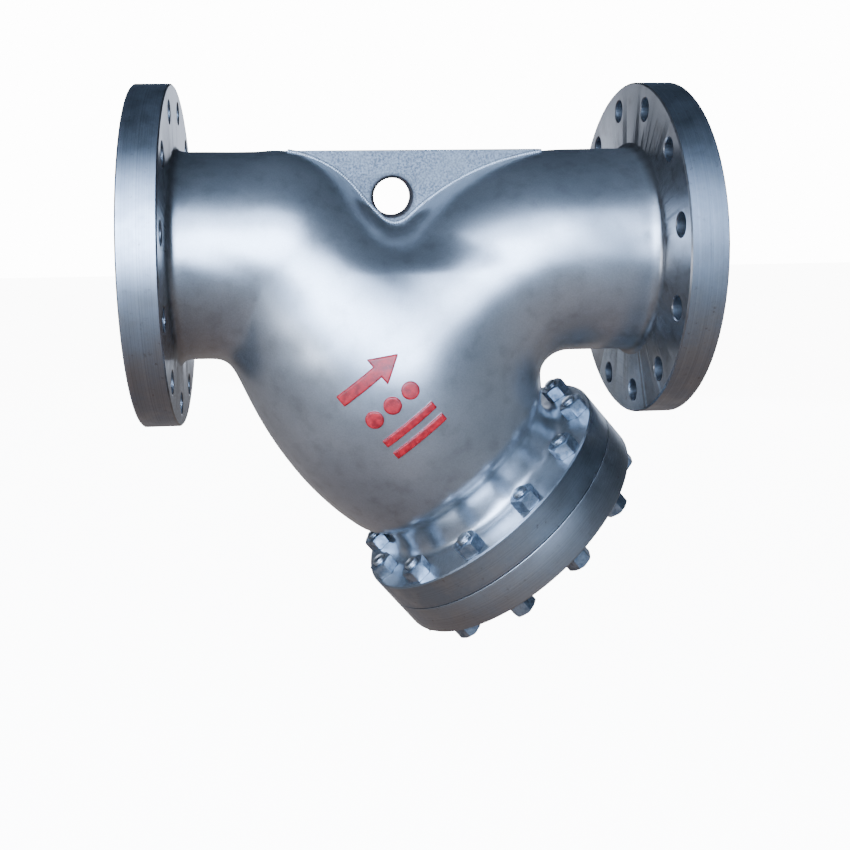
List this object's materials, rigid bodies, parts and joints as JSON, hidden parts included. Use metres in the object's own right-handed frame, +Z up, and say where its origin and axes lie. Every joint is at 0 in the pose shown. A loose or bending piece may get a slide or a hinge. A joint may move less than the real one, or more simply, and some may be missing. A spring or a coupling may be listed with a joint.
{
  "type": "y strainer",
  "caption": "Flanged Y strainer for a pipeline: an angled barrel with a bolted cover holds a removable cylindrical screen.",
  "frame": {"origin": "centre of the inlet flange's face, on the pipe axis", "axes": "+X along the pipe from inlet to outlet, +Z up, +Y across; the branch leans down towards the outlet in the XZ plane"},
  "size_m": [0.6, 0.381, 0.6392],
  "materials": {
    "cast_steel": "satin silver-grey coating over a blasted steel casting",
    "web_steel": "satin silver-grey coating over plate",
    "mark_enamel": "red enamel on the raised marks",
    "gasket_steel": "spiral wound steel with graphite filler",
    "cover_steel": "satin silver-grey coating over a machined cover",
    "screen_steel": "perforated stainless sheet",
    "stud_steel": "bright plated thread",
    "nut_steel": "light grey plated",
    "washer_metal": "soft copper"
  },
  "bodies": {
    "strainer_body": {"valve_body": "cast_steel", "lifting_web": "web_steel", "cast_marks": "mark_enamel", "gasket_winding": "gasket_steel", "gasket_ring": "gasket_steel", "stud_01": "stud_steel", "stud_02": "stud_steel", "stud_03": "stud_steel", "stud_04": "stud_steel", "stud_05": "stud_steel", "stud_06": "stud_steel", "stud_07": "stud_steel", "stud_08": "stud_steel", "stud_09": "stud_steel", "stud_10": "stud_steel", "stud_11": "stud_steel", "stud_12": "stud_steel", "body_nut_01": "nut_steel", "body_nut_02": "nut_steel", "body_nut_03": "nut_steel", "body_nut_04": "nut_steel", "body_nut_05": "nut_steel", "body_nut_06": "nut_steel", "body_nut_07": "nut_steel", "body_nut_08": "nut_steel", "body_nut_09": "nut_steel", "body_nut_10": "nut_steel", "body_nut_11": "nut_steel", "body_nut_12": "nut_steel"},
    "cover": {"cover": "cover_steel"},
    "screen": {"screen_tube": "screen_steel", "screen_bottom_ring": "screen_steel", "screen_top_ring": "screen_steel"},
    "drain_washer": {"drain_washer": "washer_metal"},
    "drain_plug": {"drain_plug": "nut_steel"},
    "cover_nut_01": {"cover_nut_01": "nut_steel"},
    "cover_nut_02": {"cover_nut_02": "nut_steel"},
    "cover_nut_03": {"cover_nut_03": "nut_steel"},
    "cover_nut_04": {"cover_nut_04": "nut_steel"},
    "cover_nut_05": {"cover_nut_05": "nut_steel"},
    "cover_nut_06": {"cover_nut_06": "nut_steel"},
    "cover_nut_07": {"cover_nut_07": "nut_steel"},
    "cover_nut_08": {"cover_nut_08": "nut_steel"},
    "cover_nut_09": {"cover_nut_09": "nut_steel"},
    "cover_nut_10": {"cover_nut_10": "nut_steel"},
    "cover_nut_11": {"cover_nut_11": "nut_steel"},
    "cover_nut_12": {"cover_nut_12": "nut_steel"}
  },
  "joints": [
    {"name": "cover_off", "type": "slide", "parent": "strainer_body", "child": "cover", "axis": [0.6428, 0, -0.766], "range_m": [0, 0.4]},
    {"name": "screen_out", "type": "slide", "parent": "strainer_body", "child": "screen", "axis": [0.6428, 0, -0.766], "range_m": [0, 0.36]},
    {"name": "drain_washer_draw", "type": "slide", "parent": "cover", "child": "drain_washer", "axis": [0.6428, 0, -0.766], "range_m": [0, 0.0232]},
    {"name": "drain_plug_turn", "type": "hinge", "parent": "drain_washer", "child": "drain_plug", "pos_m": [0.43476, 0, -0.33936], "axis": [0.6428, 0, -0.766], "range_deg": [0, 3600]},
    {"name": "cover_nut_01_off", "type": "slide", "parent": "cover", "child": "cover_nut_01", "axis": [0.6428, 0, -0.766], "range_m": [0, 0.06]},
    {"name": "cover_nut_02_off", "type": "slide", "parent": "cover", "child": "cover_nut_02", "axis": [0.6428, 0, -0.766], "range_m": [0, 0.06]},
    {"name": "cover_nut_03_off", "type": "slide", "parent": "cover", "child": "cover_nut_03", "axis": [0.6428, 0, -0.766], "range_m": [0, 0.06]},
    {"name": "cover_nut_04_off", "type": "slide", "parent": "cover", "child": "cover_nut_04", "axis": [0.6428, 0, -0.766], "range_m": [0, 0.06]},
    {"name": "cover_nut_05_off", "type": "slide", "parent": "cover", "child": "cover_nut_05", "axis": [0.6428, 0, -0.766], "range_m": [0, 0.06]},
    {"name": "cover_nut_06_off", "type": "slide", "parent": "cover", "child": "cover_nut_06", "axis": [0.6428, 0, -0.766], "range_m": [0, 0.06]},
    {"name": "cover_nut_07_off", "type": "slide", "parent": "cover", "child": "cover_nut_07", "axis": [0.6428, 0, -0.766], "range_m": [0, 0.06]},
    {"name": "cover_nut_08_off", "type": "slide", "parent": "cover", "child": "cover_nut_08", "axis": [0.6428, 0, -0.766], "range_m": [0, 0.06]},
    {"name": "cover_nut_09_off", "type": "slide", "parent": "cover", "child": "cover_nut_09", "axis": [0.6428, 0, -0.766], "range_m": [0, 0.06]},
    {"name": "cover_nut_10_off", "type": "slide", "parent": "cover", "child": "cover_nut_10", "axis": [0.6428, 0, -0.766], "range_m": [0, 0.06]},
    {"name": "cover_nut_11_off", "type": "slide", "parent": "cover", "child": "cover_nut_11", "axis": [0.6428, 0, -0.766], "range_m": [0, 0.06]},
    {"name": "cover_nut_12_off", "type": "slide", "parent": "cover", "child": "cover_nut_12", "axis": [0.6428, 0, -0.766], "range_m": [0, 0.06]}
  ],
  "couplings": [
    {"joint": "screen_out", "follows": "cover_off", "ratio": 0.9},
    {"joint": "drain_washer_draw", "follows": "drain_plug_turn", "m_per_rad": 0.00036749}
  ]
}
